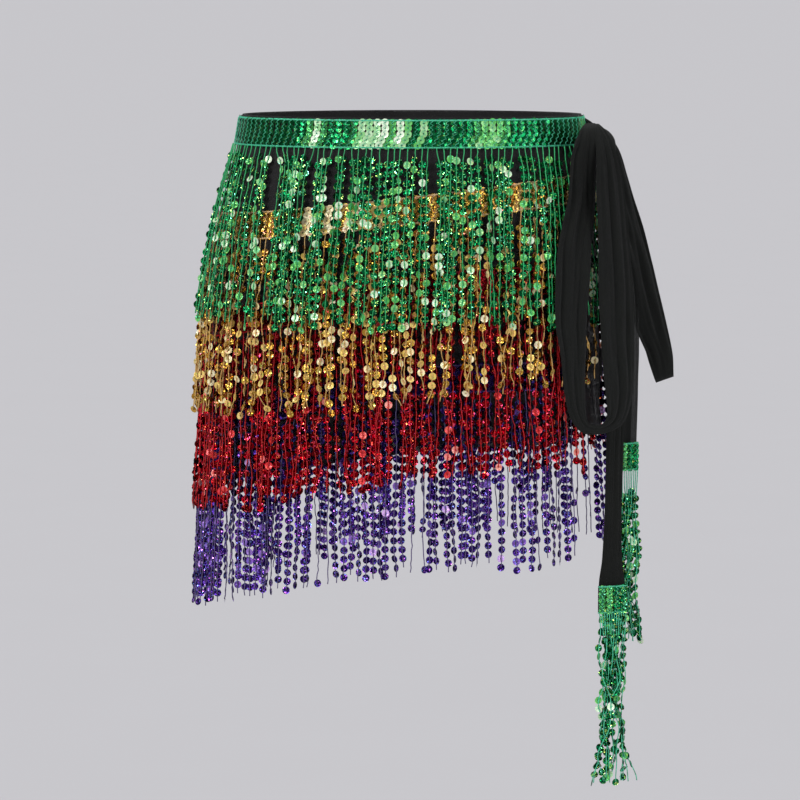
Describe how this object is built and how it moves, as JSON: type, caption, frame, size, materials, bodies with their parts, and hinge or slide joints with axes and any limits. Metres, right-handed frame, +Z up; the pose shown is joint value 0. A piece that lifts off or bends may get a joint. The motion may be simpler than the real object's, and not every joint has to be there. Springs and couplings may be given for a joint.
{
  "type": "belly dance hip scarf",
  "caption": "Wrap-round hip scarf of black mesh with four stepped tiers of sequin fringe, tied on one hip in a black bow.",
  "frame": {"origin": "middle of the worn waist opening, at half the height of the green waistband", "axes": "+Z up along the wearer's body, the front faces -Y, the tied bow is on the +X side"},
  "size_m": [0.418, 0.2621, 0.5771],
  "materials": {
    "black_mesh": "fine sheer knitted mesh, matte",
    "black_tie": "soft light mesh, matte",
    "green_sequins": "holographic foil sequins, glossy",
    "gold_sequins": "holographic foil sequins, glossy",
    "red_sequins": "holographic foil sequins, glossy",
    "purple_sequins": "holographic foil sequins, glossy"
  },
  "bodies": {
    "root": {"cloth_panel": "black_mesh", "waistband": "green_sequins", "fringe_green": "green_sequins", "band_gold": "gold_sequins", "fringe_gold": "gold_sequins", "band_red": "red_sequins", "fringe_red": "red_sequins", "band_purple": "purple_sequins", "fringe_purple": "purple_sequins", "tie_front": "black_tie", "tie_back": "black_tie", "knot": "black_tie", "loop_front": "black_tie", "loop_side": "black_tie", "tail_short": "black_tie", "tail_long": "black_tie", "tassel_short": "green_sequins", "tassel_long": "green_sequins"}
  },
  "joints": []
}
